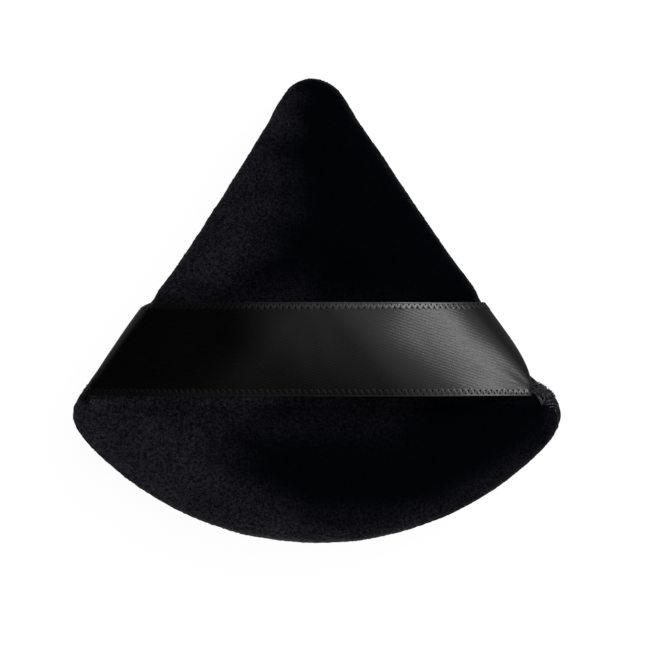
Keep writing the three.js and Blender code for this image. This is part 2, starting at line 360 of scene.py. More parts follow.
class Half:
    """One half of the ribbon: its middle plane, and places on its surface by length and drop."""

    def __init__(self, side):
        self.side = side
        flat = ribbon_grid(side)
        self.points = flat + grid_normals(flat) * ribbon_waves(side, flat)[..., None]
        self.normals = grid_normals(self.points)
        steps = np.linalg.norm(np.diff(self.points, axis=0), axis=2)
        self.lengths = np.concatenate([0 * steps[:1], np.cumsum(steps, 0)])
        self.drops = np.linspace(0, ribbon_width, self.points.shape[1])

    def height(self, x, drop):
        """How high the ribbon's middle plane is over places in front of its fold."""
        found = np.full(len(x), np.inf)
        last = int(np.argmax(self.side * self.points[:, :, 0].mean(1)))
        for i, (out, down) in enumerate(zip(x, drop, strict=True)):
            column = round(down / ribbon_width * (len(self.drops) - 1))
            column = min(max(column, 0), len(self.drops) - 1)
            across = self.side * self.points[: last + 1, column, 0]
            if out < across.max():
                found[i] = np.interp(out, across, self.points[: last + 1, column, 2])
        return found

    def places(self, length, drop, lift):
        """Points above the surface, by length from the middle and drop from the top edge.

        With them comes the surface's direction up.
        """
        length, drop = np.broadcast_arrays(length, drop)
        place = np.clip(drop / ribbon_width, 0, 1) * (len(self.drops) - 1)
        left = np.minimum(place.astype(int), len(self.drops) - 2)
        share = (place - left)[:, None]
        found = upward = 0
        rows = np.arange(len(self.lengths))
        surface = self.points + self.normals * (ribbon_thickness / 2)
        for column, weight in ((left, 1 - share), (left + 1, share)):
            each = zip(length, column, strict=True)
            row = np.array([np.interp(s, self.lengths[:, c], rows) for s, c in each])
            low = np.minimum(row.astype(int), len(rows) - 2)
            part = (row - low)[:, None]
            here = surface[low, column] * (1 - part) + surface[low + 1, column] * part
            up = self.normals[low, column] * (1 - part) + self.normals[low + 1, column] * part
            found = found + weight * (here + up * np.reshape(lift, (-1, 1)))
            upward = upward + weight * up
        found[:, 1] -= drop - np.clip(drop, 0, ribbon_width)
        return found, upward


halves = {side: Half(side) for side in (1, -1)}
half_names = {1: "right", -1: "left"}


# The velvet panels. Each is laid out flat, wider than the outline by what its rounded edge takes,
# meshed evenly there, and then wrapped over the cushion.
def panel_profile(height, limit):
    """Depth and rise from the seam to the middle, with the place of each in the flat layout."""
    turn = np.linspace(0, math.pi / 2, 14)[:-1]
    edge_depth = crease_depth * (1 - np.sin(turn))
    edge_rise = bulge_height * (1 - np.cos(turn))
    share = np.linspace(0, 1, 160) ** 2.2
    crown_depth = deepest * share
    rise = bulge_height + (height - bulge_height) * crown_rise(share)
    soft = 0.12  # how gently the crown runs into the flat that rests on the table
    crown = limit - soft * np.log1p(np.exp((limit - rise) / soft))
    crown = np.where(rise < limit - 1.5, rise, crown)
    depth = np.concatenate([edge_depth, crown_depth])
    rise = np.concatenate([edge_rise, crown if limit < height else rise])
    way = walked(depth, rise)
    return depth, rise, deepest - (way[-1] - way)


def ring_angles(depth, spacing):
    """Angles of evenly spaced points at one depth."""
    fine = np.linspace(0, 2 * math.pi, 4001)
    reach = reach_at(fine, depth)
    way = walked(reach * np.cos(fine), reach * np.sin(fine))
    count = round(way[-1] / spacing)
    return np.interp(np.arange(count) * way[-1] / count, way, fine)


def flat_layout(profile, angles, spacing):
    """Even triangles over the flat layout. The rim comes first."""
    rim_depth = profile[2][0]
    reach = reach_at(angles, rim_depth)
    rim = np.stack([reach * np.cos(angles), middle_y + reach * np.sin(angles)], 1)
    rows = np.arange(rim[:, 1].min(), rim[:, 1].max(), spacing * math.sqrt(3) / 2)
    grid = []
    for i, y in enumerate(rows):
        start = rim[:, 0].min() + (spacing / 2 if i % 2 else 0)
        xs = np.arange(start, rim[:, 0].max(), spacing)
        grid.append(np.stack([xs, np.full(len(xs), y)], 1))
    grid = np.concatenate(grid)
    grid += random.normal(0, 0.06 * spacing, grid.shape)
    grid = grid[depth_at(grid[:, 0], grid[:, 1]) > rim_depth + 0.65 * spacing]
    places = np.concatenate([rim, grid])
    made = delaunay_2d_cdt([Vector(p) for p in places], [], [list(range(len(rim)))], 1, 1e-5)
    origin = [found[0] for found in made[3]]
    faces = np.array([[origin[v] for v in face] for face in made[2]])
    return places, faces


def swollen(points, faces, pinned):
    """The closed cushion, blown up as cloth with its seam pinned."""
    enlarge = 10  # the simulation is steadier at ten times the size
    frames = 20
    scene = bpy.context.scene
    mesh = bpy.data.meshes.new("cloth")
    mesh.from_pydata((points * MM * enlarge).tolist(), [], faces.tolist())
    obj = show("cloth", mesh)
    seam = obj.vertex_groups.new(name="seam")
    seam.add([int(v) for v in pinned], 1.0, "REPLACE")
    cloth = obj.modifiers.new("cloth", "CLOTH")
    settings = cloth.settings
    settings.quality = 5
    settings.mass = 0.3
    settings.tension_stiffness = 15
    settings.compression_stiffness = 15
    settings.shear_stiffness = 5
    settings.bending_stiffness = 0.5
    settings.vertex_group_mass = "seam"
    settings.use_pressure = True
    settings.uniform_pressure_force = 4
    settings.shrink_min = -0.07
    settings.effector_weights.gravity = 0
    cloth.collision_settings.use_collision = False
    cloth.point_cache.frame_start = 1
    cloth.point_cache.frame_end = frames
    for number in range(1, frames + 1):
        scene.frame_set(number)
    done = obj.evaluated_get(bpy.context.evaluated_depsgraph_get())
    moved = vertex_array(done.data) / (MM * enlarge)
    scene.frame_set(1)
    bpy.data.objects.remove(obj)
    bpy.data.meshes.remove(mesh)
    return moved


def spread_out(values, faces, rounds):
    """Values averaged with their neighbours, again and again."""
    count = len(values)
    ends = np.concatenate([faces[:, [0, 1]], faces[:, [1, 2]], faces[:, [2, 0]]])
    first, second = np.concatenate([ends, ends[:, ::-1]]).T
    neighbours = np.bincount(first, minlength=count)[:, None]
    for _ in range(rounds):
        total = np.stack([np.bincount(first, values[second, k], count) for k in range(3)], 1)
        values = 0.5 * values + 0.5 * total / neighbours
    return values


mesh_spacing = 0.9
front_profile = panel_profile(front_height, front_height)
back_profile = panel_profile(back_height, back_limit)
seam_angles = ring_angles(front_profile[2][0], mesh_spacing)
rim_count = len(seam_angles)


def panel(profile, side):
    """A velvet panel, laid out flat and wrapped over the cushion with its outside out."""
    places, faces = flat_layout(profile, seam_angles, mesh_spacing)
    depth, rise, place = profile
    planar = depth_at(places[:, 0], places[:, 1])
    angle = np.arctan2(places[:, 1] - middle_y, places[:, 0])
    new_depth = np.interp(planar, place, depth)
    reach = reach_at(angle, np.minimum(new_depth, deepest - 1e-6))
    z = seam_z + side * np.interp(planar, place, rise)
    points = np.stack([reach * np.cos(angle), middle_y + reach * np.sin(angle), z], 1)
    up = facing_out(points, faces)[:, 2].sum()
    return points, faces if up * side > 0 else faces[:, ::-1]


front_points, front_faces = panel(front_profile, 1)
back_points, back_faces = panel(back_profile, -1)

# The whole cushion, whose two panels share the seam's points
front_count = len(front_points)
back_index = np.arange(len(back_points)) + front_count - rim_count
back_index[:rim_count] = np.arange(rim_count)
cushion = np.concatenate([front_points, back_points[rim_count:]])
cushion_faces = np.concatenate([front_faces, back_index[back_faces]])

# The simulation's puckers are kept, and its even swelling is taken off again. They are smaller
# sideways, under the ribbon and where the back rests.
pucker_cap = 0.35
sideways_share = 0.4
moved = swollen(cushion, cushion_faces, range(rim_count)) - cushion
even = spread_out(moved, cushion_faces, 60)
puckers = spread_out(moved - even, cushion_faces, 3)
size = np.linalg.norm(puckers, axis=1, keepdims=True)
puckers *= pucker_cap * np.tanh(size / pucker_cap) / np.maximum(size, 1e-9)
puckers[:, :2] *= sideways_share
under_ribbon = ramp((11 - np.abs(cushion[:, 1] - ribbon_middle_y)) / 3)
resting = ramp((1.6 - cushion[:, 2]) / 1.2)
cushion += puckers * (1 - np.maximum(0.6 * under_ribbon, 0.85 * resting))[:, None]
cushion[:, 2] = np.maximum(cushion[:, 2], 0)

cushion = drawn_in(cushion)


def held_down(points):
    """The front panel, kept under the ribbon's two ends."""
    clearance = 0.2
    lowered = np.zeros(points.shape)
    drop = ribbon_top_y - points[:, 1]
    for half in halves.values():
        out = half.side * points[:, 0]
        near = (out > 12) & (drop > -clearance) & (drop < ribbon_width + clearance)
        near = np.flatnonzero(near & (points[:, 2] > seam_z + 0.8))
        limit = half.height(out[near], drop[near]) - ribbon_thickness / 2 - clearance
        lowered[near, 2] = np.minimum(limit - points[near, 2], 0)
    lowered[:, 2] = np.maximum(lowered[:, 2], -4)
    return points + lowered


def point_normals(points, faces):
    out = facing_out(points, faces)
    total = np.zeros(points.shape)
    for i in range(3):
        np.add.at(total, faces[:, i], out)
    return total / np.linalg.norm(total, axis=1, keepdims=True)


# Gathers that fan out of the two corners where the ribbon's lower edge is sewn in: each corner's
# place, the bearings between which its gathers lie, how many there are and how deep
gathers = [
    ((34.9, -13.9), (-100, 55), 6, 0.22),
    ((-36.6, -14.6), (150, 262), 6, 0.2),
]


def gathered(points, faces):
    """The cushion with its gathers, and with a tuck at the ribbon's lower left corner."""
    moved = np.zeros(len(points))
    x, y = points[:, 0], points[:, 1]
    for corner, (first, last), count, deep in gathers:
        distance = np.hypot(x - corner[0], y - corner[1])
        bearing = np.degrees(np.arctan2(y - corner[1], x - corner[0]))
        bearing = np.where(bearing < first - 60, bearing + 360, bearing)
        share = (bearing - first) / (last - first)
        wave = np.sin(2 * math.pi * count * (share + 0.06 * np.sin(9 * share)))
        fades = ramp(share / 0.12) * ramp((1 - share) / 0.12)
        moved += deep * wave * fades * ramp(distance / 1.2) * np.exp(-distance / 3.5)
    tuck = hump(x, -36.9, 0.45) * hump(y, -14.6, 0.9)
    moved -= 0.8 * tuck * ramp((points[:, 2] - seam_z) / 1.0)
    return points + point_normals(points, faces) * moved[:, None]


cushion = gathered(held_down(cushion), cushion_faces)


# The border between pile painted lighter, on the left, as if lit from there and partly for its
# lay, and pile that lies dark
border_y = [-37, -33, -30.5, -28, -25.7, -21, -18, -14, 0, 3, 5, 8, 10, 17, 24, 30, 38]
border_x = [12, -1, -7, -10.5, -13.8, -14, -9, -4, -16, -15.5, -13, -8.5, -8, -7, -5, -4.5, -4]

# Bands of painted light along the ribbon, that lift the shade beside it: how light each is, the
# middle and half height of it, and where it has ended to the right and begun to fade
painted_light_bands = [
    (0.45, -16.5, 4.0, 19, 10),
    (0.25, -18.6, 1.8, 1, -4),
    (0.42, 2.5, 4.0, 3, -3),
    (0.2, 1, 2.5, 20, 12),
]


def painted_light_and_nap(x, y):
    """How light the pile is painted. Brushed towards the left it is lighter, with an uneven
    border, and that side is also painted lighter as if lit from there; there is painted light
    beside and below the ribbon, a pale painted sheen at parts of the edge and on the ear, and
    painted shade in the tuck.
    """
    # The left side is painted lighter, as if lit from there, and partly for the pile's lay.
    border = np.interp(y, border_y, border_x)
    border = border + 1.2 * np.sin(0.42 * y + 0.6) + 0.8 * np.sin(0.95 * y + 0.2 * x)
    light = ramp((border - x) / np.interp(y, [18, 31], [14, 6]) + 0.5)
    beside = 0
    for lightness, band_y, height, end, start in painted_light_bands:
        beside += lightness * hump(y, band_y, height) * ramp((end - x) / (end - start))
    # Painted light along the bottom, except at the right.
    beside += 0.38 * ramp((-29.5 - y) / 4) * ramp((24 - x) / 9)
    # Painted sheen: a pale rim inside the edge below the ribbon, at the lower right and along the
    # left, and on the ear under the ribbon's right end.
    rim_light = np.interp(y, [-28, -23.3, -20.8, -18.5], [0.8, 0.55, 0.3, 0.12])
    rim_reach = np.interp(y, [-33, -30.5], [3.2, 5.4])
    rim = rim_light * ramp(1 - depth_at(x, y) / rim_reach) * (x > 0)
    rim += 0.45 * ramp(1 - depth_at(x, y) / 3.6) * (x <= 0)
    rim *= ramp((-15 - y) / 3)
    ear_bottom = np.interp(x, [34, 35.8, 36.6, 39], [-13.2, -13.4, -15.0, -14.6])
    ear = ramp((x - 33.8) / 0.8) * ramp((y - ear_bottom) / 0.5 + 0.5) * (y < -9)
    rim += 0.4 * ramp((x - 35.5) / 3) * ramp((-15 - y) / 0.5) * ramp((y + 21) / 3)
    # Painted shade in the tuck at the ribbon's lower left corner.
    tuck = hump(x, -37.2, 0.6) * hump(y, -14.3, 1.0)
    total = np.clip((np.maximum(light, beside) + rim) * (1 - tuck) + 0.9 * ear, 0, 1.3)
    # Painted light just under the ribbon's lower edge, that lifts the shadow the ribbon casts
    # there.
    below_ribbon = ramp((y + 15.8) / 1.2) * (y < ribbon_middle_y)
    return total * (1 + 0.6 * below_ribbon) + 0.12 * below_ribbon


def painted_edge_sheen(x, y, upright):
    """How much pale painted sheen shows: on the steep shoulder of the edge, most of all at the
    bottom.
    """
    shoulder = np.clip((0.8 - upright) / 0.31, 0, 1.15) ** 2 * ramp(upright / 0.4 + 0.3)
    bottom = ramp((18 - np.abs(x)) / 6) * ramp((-25 - y) / 4)
    upper_right = ramp(x / 6) * ramp((y + 5) / 8)
    lower_left = ramp((-22 - x) / 4) * ramp((-15 - y) / 5)
    strength = 0.34 * (1 + 1.75 * bottom) * (1 - 0.55 * upper_right - 0.8 * lower_left)
    return strength * shoulder * ramp(3 - depth_at(x, y))


unevenness = 0.03 * MM  # of the velvet's face


def finish_panel(name, node, points, faces):
    obj = add_object(name, points, faces)
    subdivide(obj)
    mesh = obj.data
    placed = vertex_array(mesh)
    placed += vertex_array(mesh, "normal") * random.normal(0, unevenness, (len(placed), 1))
    placed[:, 2] = np.maximum(placed[:, 2], 0)
    mesh.vertices.foreach_set("co", placed.ravel())
    mesh.update()
    x, y, _ = (vertex_array(obj.data) / MM).T
    # The front velvet gets its painted light and shade, with the pile's lay; the back gets a plain
    # uneven tone.
    light = painted_light_and_nap(x, y - shift_y)
    if node == "back_cover":
        light = 0.35 + 0.2 * np.sin(0.13 * x + 0.1 * y)
    # The pale painted sheen of the edge.
    edge_sheen = painted_edge_sheen(x, y - shift_y, vertex_array(obj.data, "normal")[:, 2])
    for attribute, values in (("nap_and_painted_light", light), ("edge_sheen", edge_sheen)):
        painted = obj.data.attributes.new(attribute, "FLOAT", "POINT")
        painted.data.foreach_set("value", values.astype(np.float32))
    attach(obj, "puff")
    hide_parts(node)
    return obj


front_velvet = finish_panel("front_velvet", "front_cover", cushion[:front_count], front_faces)
back_velvet = finish_panel("back_velvet", "back_cover", cushion[back_index], back_faces)


def ring_quads(count, rings):
    """The faces between each ring of points and the next."""
    faces = []
    for low in range(0, (rings - 1) * count, count):
        for i in range(count):
            j = (i + 1) % count
            faces.append((low + i, low + j, low + count + j, low + count + i))
    return faces


# The sponge inside, with a slot round its edge for the seam allowances
def sponge_core():
    angles = ring_angles(0, 2.5)
    slot_depth = 6.5
    lines = []
    for height, limit, side in [(front_height, front_height, 1), (back_height, back_limit, -1)]:
        share = np.linspace(1, 0, 14)[1:] ** 2
        depth = skin + (deepest - skin) * share
        top = bulge_height + (height - skin - bulge_height) * crown_rise(share)
        top = np.minimum(top, limit - skin)
        line = [*zip(depth, top, strict=True), (2.6, 1.75), (slot_depth, 1.6)]
        lines.append([(d, side * r) for d, r in line])
    rings = lines[0] + lines[1][::-1]
    points = []
    for depth, rise in rings:
        reach = reach_at(angles, depth)
        for a, r in zip(angles, reach, strict=True):
            points.append((r * math.cos(a), middle_y + r * math.sin(a), seam_z + rise))
    count = len(angles)
    faces = [(a, d, c, b) for a, b, c, d in ring_quads(count, len(rings))]
    for end, pole_rise in [(0, front_height - skin), (len(rings) - 1, skin - back_limit)]:
        points.append((0, middle_y, seam_z + pole_rise))
        for i in range(count):
            j = (i + 1) % count
            ring = end * count
            low, high = (i, j) if end == 0 else (j, i)
            faces.append((len(points) - 1, ring + low, ring + high))
    obj = add_object("sponge_core", drawn_in(np.array(points), 1.2), faces)
    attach(obj, "puff")
    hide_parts("foam_core")
    return obj


sponge = sponge_core()


def bend_with_strap(obj):
    """Only bakes the piece's placement into its mesh: nothing here makes it follow the puff or the
    strap.
    """
    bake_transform(obj)


def ribbon_half(side):
    half = halves[side]
    rows, columns = half.points.shape[:2]
    thin = np.ones(columns)
    thin[[0, -1]] = 0.35  # the woven edges are thinner
    offset = half.normals * (ribbon_thickness / 2 * thin)[None, :, None]
    points = np.stack([half.points + offset, half.points - offset]).reshape(-1, 3)
    along = side * np.tile(half.lengths.ravel(), 2)
    across = np.tile(np.broadcast_to(half.drops, (rows, columns)).ravel(), 2)
    under = rows * columns
    faces = []
    caps = []
    for r in range(rows - 1):
        for c in range(columns - 1):
            a = r * columns + c
            b, d, e = a + 1, a + columns + 1, a + columns
            faces.append((a, b, d, e))
            faces.append((under + e, under + d, under + b, under + a))

    def add_cap(a, step, turned):
        quad = (a, a + step, under + a + step, under + a)
        caps.append(quad[::-1] if turned else quad)

    for r in range(rows - 1):
        add_cap(r * columns, columns, False)
        add_cap((r + 1) * columns - 1, columns, True)
    for c in range(columns - 1):
        add_cap(c, 1, True)
        add_cap((rows - 1) * columns + c, 1, False)
    if side < 0:
        faces = [f[::-1] for f in faces]
        caps = [f[::-1] for f in caps]
    obj = add_object(f"satin_ribbon_{half_names[side]}", points, faces + caps)
    mesh = obj.data
    cap_edges = {tuple(sorted((f[i], f[i - 1]))) for f in caps for i in range(4)}
    for rim in mesh.edges:
        rim.use_edge_sharp = tuple(sorted(rim.vertices)) in cap_edges
    weave = mesh.uv_layers.new(name="weave")
    corners = np.empty(len(mesh.loops), np.int32)
    mesh.loops.foreach_get("vertex_index", corners)
    weave.data.foreach_set("uv", np.stack([along[corners], across[corners]], 1).ravel())
    bend_with_strap(obj)
    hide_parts(f"ribbon_{half_names[side]}_end", "ribbon_middle")
    return obj


ribbons = {side: ribbon_half(side) for side in (1, -1)}


# Threads
def tube(path, radius, sides=6, up=None, flatness=1.0):
    """Points and faces of a thread along a path, closed at both ends and flat where it lies."""
    path = np.asarray(path, float)
    along = np.gradient(path, axis=0)
    along /= np.linalg.norm(along, axis=1, keepdims=True)
    across = np.cross(along[0], (0.31, 0.2, 0.93))
    across /= np.linalg.norm(across)
    radius = np.broadcast_to(radius, len(path))
    points = []
    for row, (place, direction, thick) in enumerate(zip(path, along, radius, strict=True)):
        if up is not None:
            across = np.cross(direction, up[row])
        across = across - direction * (across @ direction)
        across /= np.linalg.norm(across)
        other = np.cross(direction, across) * flatness
        for i in range(sides):
            turn = 2 * math.pi * i / sides
            points.append(place + thick * (across * math.cos(turn) + other * math.sin(turn)))
    faces = ring_quads(sides, len(path))
    faces.append(tuple(range(sides))[::-1])
    faces.append(tuple(range((len(path) - 1) * sides, len(path) * sides)))
    return points, faces


def threads_object(name, tubes):
    points, faces = [], []
    for more_points, more_faces in tubes:
        start = len(points)
        points.extend(more_points)
        faces.extend(tuple(v + start for v in face) for face in more_faces)
    return add_object(name, points, faces)


# The woven edge of the ribbon: a zigzag of flat thread over a dark matt strip of painted shade,
# and a flat outer cord
loop_pitch = 1.0
loop_inner = 0.95  # from the ribbon's edge in to the zigzag's inner turns, and to its outer ones
loop_outer = 0.23
loop_half_width = 0.25
cord_half_width = 0.13
seam_rows = 9  # rows of the ribbon in the seam, which carry no thread


def selvedge(side):
    half = halves[side]
    tubes = []
    for edge, inwards, column in ((0.0, 1, 0), (ribbon_width, -1, -1)):
        total = half.lengths[-seam_rows, column]
        length = np.arange(0, total, loop_pitch / 12)
        swing = 0.5 + 0.5 * np.cos(2 * math.pi * length / loop_pitch)
        uneven = 0.05 * np.sin(length * 2.3) + 0.04 * np.sin(length * 5.1)
        drop = edge + inwards * (loop_outer + (loop_inner - loop_outer) * swing + uneven)
        path, up = half.places(length, drop, 0.05 * swing)
        tubes.append(tube(path, loop_half_width, 12, up, 0.08))
        length = np.arange(0, total, 0.35)
        path, up = half.places(length, edge + inwards * cord_half_width, 0.02)
        tubes.append(tube(path, cord_half_width, 12, up, 0.12))
    obj = threads_object(f"ribbon_edging_{half_names[side]}", tubes)
    obj.data.set_sharp_from_angle(angle=math.radians(60))
    bend_with_strap(obj)
    return obj


edgings = [selvedge(side) for side in (1, -1)]


def mark_painted_shade(obj, side):
    """Painted shade for the gaps between the woven edge's loops: a dark matt strip under them, as
    the ribbon's second material.
    """
    rows, columns = halves[side].points.shape[:2]
    face = np.arange(len(obj.data.polygons))
    column = (face // 2) % (columns - 1)
    outer = round(loop_inner / column_spacing)
    painted_shade_strip = (column < outer) | (column >= columns - 1 - outer)
    painted_shade_strip |= face >= 2 * (rows - 1) * (columns - 1)
    obj.data.polygons.foreach_set("material_index", painted_shade_strip.astype(np.int32))


def outline_point(angle, depth, rise):
    """A point near the seam, moved as the velvet's own edge is."""
    reach = float(reach_at(angle, depth))
    x, y = reach * math.cos(angle), middle_y + reach * math.sin(angle)
    return drawn_in(np.array([[x, y, seam_z + rise]]))[0]


# Whip stitches that close the turning gap round the right corner: where they start, how far
# apart they are, how many, how far each slants to either side and how far it reaches up and down
first_stitch = (38.6, -15.0)
stitch_pitch = 1.25
stitch_count = 10
stitch_slant = 0.45
stitch_rise = 1.0


def closing_stitches():
    angle = math.atan2(first_stitch[1] - middle_y, first_stitch[0])
    tubes = []
    for i in range(stitch_count):
        reach = float(reach_at(angle, 0))
        slant = stitch_slant / reach
        path = []
        for share in np.linspace(-1, 1, 13):
            rise = stitch_rise * share
            belly = crease_depth * (1 - math.sqrt(1 - (1 - abs(rise) / bulge_height) ** 2))
            depth = belly - 0.12 + 0.5 * share**8
            path.append(outline_point(angle - slant * share, depth, rise))
        tubes.append(tube(path, 0.13, 6))
        angle -= stitch_pitch / reach * (1 + 0.12 * math.sin(2.1 * i))
    obj = threads_object("closing_stitches", tubes)
    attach(obj, "puff")
    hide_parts("closing_thread")
    return obj


closing = closing_stitches()


velvet_tree = BVHTree.FromPolygons(cushion.tolist(), cushion_faces.tolist())


def surface_height(x, y):
    """How high the velvet, or the ribbon over it, is at a place."""
    hit = velvet_tree.ray_cast(Vector((x, y, 40)), Vector((0, 0, -1)))[0]
    velvet_z = seam_z if hit is None else hit.z
    drop = ribbon_top_y - y
    if not 0 <= drop <= ribbon_width:
        return velvet_z
    half = halves[1 if x > 0 else -1]
    ribbon_z = half.height(np.array([abs(x)]), np.array([drop]))[0] + ribbon_thickness / 2
    return max(velvet_z, ribbon_z) if np.isfinite(ribbon_z) else velvet_z


# Tacking at the ribbon's lower corners: where each stitch starts and ends, and how thick it is
tacking = [
    ((35.3, -13.7), (36.2, -15.1), 0.24),
    ((36.1, -15.1), (36.7, -13.8), 0.18),
    ((36.7, -14.7), (38.6, -14.5), 0.14),
    ((36.8, -15.15), (38.8, -15.3), 0.13),
    ((37.3, -15.6), (38.5, -15.7), 0.1),
    ((38.2, -15.8), (38.75, -17.8), 0.11),
    ((-36.2, -14.2), (-36.5, -15.0), 0.12),
    ((-37.2, -12.0), (-36.6, -12.6), 0.1),
    ((-37.3, -12.5), (-36.9, -13.0), 0.12),
]


def corner_tacks():
    tubes = []
    for start, end, thick in tacking:
        path = []
        for share in np.linspace(0, 1, 11):
            x, y = np.array(start) * (1 - share) + np.array(end) * share
            bend = 0.2 * math.sin(math.pi * share)
            x, y = x + bend / 2, y + bend
            lift = (0.12 + thick) * math.sin(math.pi * share) ** 0.6 - 0.12
            path.append((x, y, surface_height(x, y) + lift))
        tubes.append(tube(path, thick, 7))
    obj = threads_object("corner_tacks", tubes)
    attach(obj, "puff")
    return obj


tacks = corner_tacks()


# Crushed pile at the sewn right corner: the middle of its patch, its half sizes, how many fibres
# it has, and their half width from root to tip
pile_place = np.array([36.6, -12.4])
pile_reach = np.array([2.2, 1.7])
fibre_count = 560
fibre_half_width = np.array([0.05, 0.05, 0.045, 0.025])


def crushed_pile():
    """Short fibres that stand up in all directions where the velvet was handled in sewing."""
    fibres = []
    a, b, c = (cushion[cushion_faces[:, i]] for i in range(3))
    facing = facing_out(cushion, cushion_faces)
    area = np.linalg.norm(facing, axis=1)
    middle = (a + b + c) / 3
    inside = np.hypot(*((middle[:, :2] - pile_place) / pile_reach).T) < 1
    on_front = (facing[:, 2] > 0.25 * area) & (middle[:, 2] > seam_z + 0.4)
    chance = area * inside * on_front
    for face in random.choice(len(area), fibre_count, p=chance / chance.sum()):
        u, v = random.uniform(0, 1, 2)
        if u + v > 1:
            u, v = 1 - u, 1 - v
        root = a[face] + u * (b[face] - a[face]) + v * (c[face] - a[face])
        out = facing[face] / area[face]
        lean_to = random.normal(0, 1, 3)
        lean_to -= out * (lean_to @ out)
        lean_to /= np.linalg.norm(lean_to)
        length = random.uniform(0.4, 0.8)
        path = [
            root + length * (out * (0.75 * t - 0.35 * t * t) + lean_to * 0.7 * t * t)
            for t in (-0.15, 0.3, 0.65, 1.0)
        ]
        fibres.append(tube(path, fibre_half_width, 4))
    obj = threads_object("crushed_pile", fibres)
    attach(obj, "puff")
    return obj


pile = crushed_pile()


# Materials
class Recipe:
    """A material, or a world, that is built up from nodes by short calls."""

    def __init__(self, name, kind=bpy.data.materials, surface="Principled BSDF"):
        self.made = kind.new(name)
        self.made.use_nodes = True
        self.tree = self.made.node_tree
        self.surface = self.tree.nodes[surface]

    def node(self, kind, values=None, **settings):
        made = self.tree.nodes.new("ShaderNode" + kind)
        for key, value in settings.items():
            setattr(made, key, value)
        for key, value in (values or {}).items():
            self.feed(made.inputs[key], value)
        return made

    def feed(self, socket, value):
        if isinstance(value, bpy.types.NodeSocket):
            self.tree.links.new(value, socket)
        else:
            socket.default_value = value

    def set(self, **values):
        for key, value in values.items():
            self.feed(self.surface.inputs[key.replace("_", " ")], value)

    def maths(self, operation, *values):
        made = self.node("Math", operation=operation)
        for socket, value in zip(made.inputs, values, strict=False):
            self.feed(socket, value)
        return made.outputs[0]

    def scaled(self, value, factor):
        return self.maths("MULTIPLY", value, factor)

    def place(self):
        return self.node("TexCoord").outputs["Object"]

    def painted(self, attribute):
        return self.node("Attribute", attribute_name=attribute).outputs["Fac"]

    def camera_ray(self):
        return self.node("LightPath").outputs["Is Camera Ray"]

    def noise(self, vector, scale, detail=2.0, roughness=0.5):
        values = {"Vector": vector, "Scale": scale, "Detail": detail, "Roughness": roughness}
        return self.node("TexNoise", values).outputs["Fac"]

    def twist(self, scale):
        values = {"Vector": self.place(), "Scale": scale, "Distortion": 2.0, "Detail": 1.0}
        return self.node("TexWave", values).outputs["Fac"]

    def between(self, value, low=0.35, high=0.65, to_low=0.0, to_high=1.0):
        values = {0: value, 1: low, 2: high, 3: to_low, 4: to_high}
        return self.node("MapRange", values).outputs[0]

    def colour(self, share, *colours):
        """From the first colour to the second, each made before or as red, green and blue."""
        made = self.node("Mix", {0: share}, data_type="RGBA", clamp_factor=False)
        for socket, colour in zip(made.inputs[6:8], colours, strict=True):
            self.feed(socket, (*colour, 1) if isinstance(colour, tuple) else colour)
        return made.outputs[2]

    def paint(self, share, dark, light, **others):
        self.set(Base_Color=self.colour(share, dark, light), **others)

    def bump(self, height, distance, strength=1.0, normal=None):
        values = {"Height": height, "Distance": distance, "Strength": strength}
        if normal is not None:
            values["Normal"] = normal
        return self.node("Bump", values).outputs["Normal"]


def velvet_material():
    m = Recipe("velvet")
    place = m.place()
    pile = m.noise(place, 4600.0, 3.0, 0.75)
    tufts = m.noise(place, 1900.0, 2.0, 0.6)
    patches = m.noise(place, 120.0)
    grain = m.maths("ADD", m.scaled(pile, 0.65), m.scaled(tufts, 0.35))
    sparkle = m.between(grain, 0.43, 0.63)
    # The painted attribute mixes a shaded and a lit copy of the velvet: the pile's lay with
    # painted light and shade.
    lay_and_painted_light = m.scaled(m.painted("nap_and_painted_light"), m.between(patches, 0.25, 0.7, 0.6, 1.1))
    dark = m.colour(sparkle, (0.0002, 0.0006, 0.0013), (0.0008, 0.0019, 0.004))
    light = m.colour(sparkle, (0.0033, 0.0034, 0.0048), (0.048, 0.046, 0.064))
    # A pale painted sheen on the edge's steep shoulder.
    edge_sheen = m.scaled(m.painted("edge_sheen"), m.between(tufts, to_low=0.5, to_high=1.5))
    m.paint(edge_sheen, m.colour(lay_and_painted_light, dark, light), (0.078, 0.077, 0.08), Roughness=1.0)
    coarse = m.bump(patches, 0.0003, 0.5)
    m.set(Normal=m.bump(grain, 0.0002, 0.8, coarse), Specular_IOR_Level=0.05)
    m.set(Sheen_Weight=0.03, Sheen_Roughness=0.4, Sheen_Tint=(0.3, 0.46, 0.65, 1))
    return m.made


def pile_material():
    m = Recipe("pile")
    # The fibres' pale colour is a painted glint: they are the velvet's own black pile.
    m.paint(m.between(m.noise(m.place(), 2600.0)), (0.006, 0.0055, 0.007), (0.16, 0.145, 0.168))
    m.set(Roughness=0.9, Specular_IOR_Level=0.2)
    return m.made


